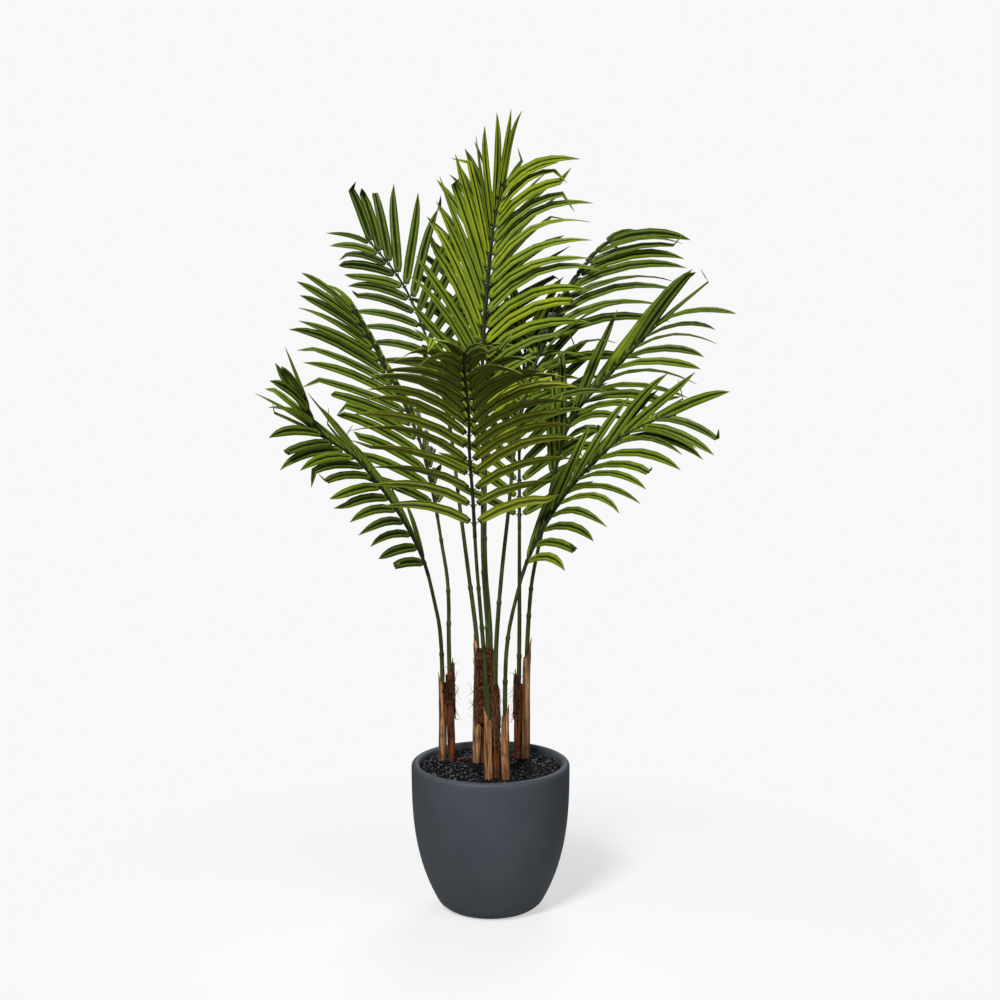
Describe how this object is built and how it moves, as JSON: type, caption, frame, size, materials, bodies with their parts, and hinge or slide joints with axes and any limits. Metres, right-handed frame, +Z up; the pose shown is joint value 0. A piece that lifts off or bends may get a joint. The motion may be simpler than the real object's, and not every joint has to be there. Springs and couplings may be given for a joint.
{
  "type": "potted palm",
  "caption": "Round planter filled with gravel, holding a palm of feather-shaped fronds on slender ringed canes that rise from brown fibrous sheaths.",
  "frame": {"origin": "centre of the pot's flat underside, where it rests on the floor", "axes": "+Z up; -Y towards the side that the palm shows best; +X to the right seen from there"},
  "size_m": [0.6755, 0.6364, 1.1969],
  "materials": {
    "pot": "matte slate grey",
    "gravel": "rough black mineral grains",
    "tan_sheath": "dry pale leaf sheath with fine grain",
    "russet_sheath": "dry red-brown leaf sheath",
    "fibre": "coarse dark brown plant fibre",
    "cane": "satin dark green with ring joints",
    "leaf": "satin green leaflets with pressed folds and a dark midrib"
  },
  "bodies": {
    "root": {"pot": "pot", "gravel": "gravel", "loose_flake": "russet_sheath", "boot_left_low": "tan_sheath", "cane_left_low": "cane", "frond_left_low": "leaf", "boot_left_mid": "russet_sheath", "cane_left_mid": "cane", "frond_left_mid": "leaf", "boot_left_high": "tan_sheath", "cane_left_high": "cane", "frond_left_high": "leaf", "boot_front": "tan_sheath", "cane_front": "cane", "frond_front": "leaf", "boot_crown": "russet_sheath", "cane_crown": "cane", "frond_crown": "leaf", "boot_right_high": "russet_sheath", "cane_right_high": "cane", "frond_right_high": "leaf", "boot_back_right": "russet_sheath", "cane_back_right": "cane", "frond_back_right": "leaf", "boot_right_low": "tan_sheath", "cane_right_low": "cane", "frond_right_low": "leaf", "boot_right_mid": "tan_sheath", "cane_right_mid": "cane", "frond_right_mid": "leaf", "boot_back": "russet_sheath", "cane_back": "cane", "frond_back": "leaf", "fibre_wrap_left": "fibre", "fibre_wrap_back": "fibre", "fibre_wrap_front": "fibre", "fibre_wrap_right": "fibre"}
  },
  "joints": []
}
